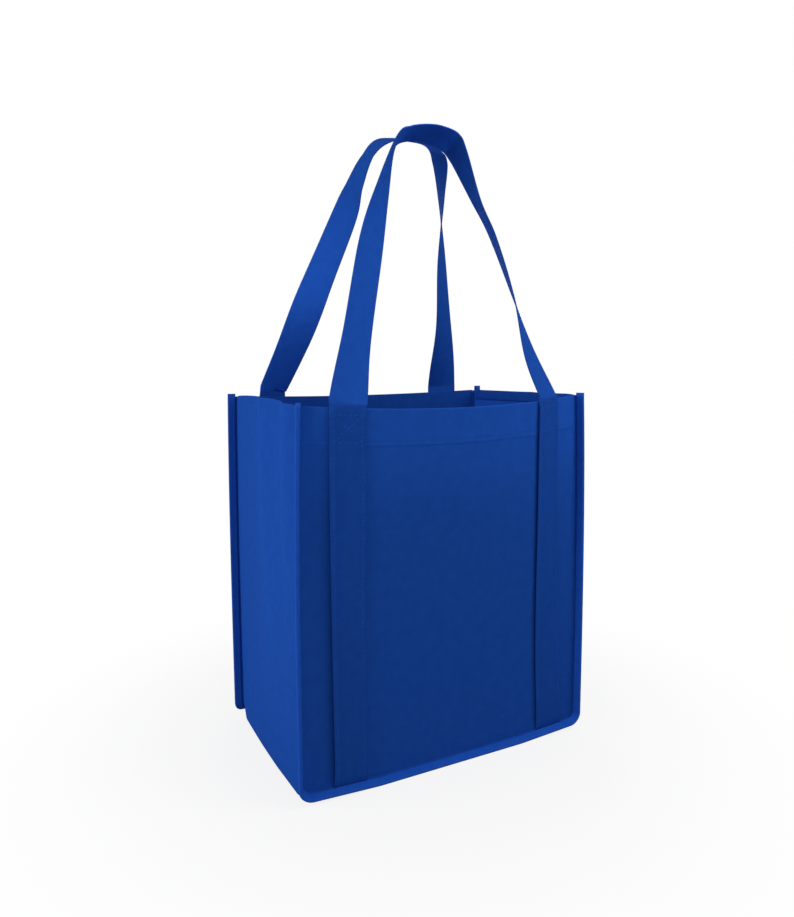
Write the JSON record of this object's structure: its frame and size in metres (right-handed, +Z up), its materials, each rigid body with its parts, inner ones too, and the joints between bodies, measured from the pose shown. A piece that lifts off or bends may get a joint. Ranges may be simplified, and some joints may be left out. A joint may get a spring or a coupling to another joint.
{
  "type": "reusable shopping bag",
  "caption": "Open-topped reusable shopping bag of royal blue non-woven fabric, with bound outward seams, a box-shaped body and a pair of long strap handles.",
  "frame": {"origin": "on the ground, under the middle of the bag's box", "axes": "+X to the right along the front panel, +Y from the front panel to the back panel, +Z up"},
  "size_m": [0.3004, 0.2346, 0.5756],
  "materials": {
    "fabric": "matte spunbond non-woven with a fine embossed dot grid",
    "binding": "matte folded non-woven tape",
    "strap": "matte folded non-woven strap",
    "board": "matte"
  },
  "bodies": {
    "root": {"front_panel": "fabric", "back_panel": "fabric", "gusset": "fabric", "front_binding": "binding", "back_binding": "binding", "front_handle": "strap", "back_handle": "strap", "base_insert": "board"}
  },
  "joints": []
}
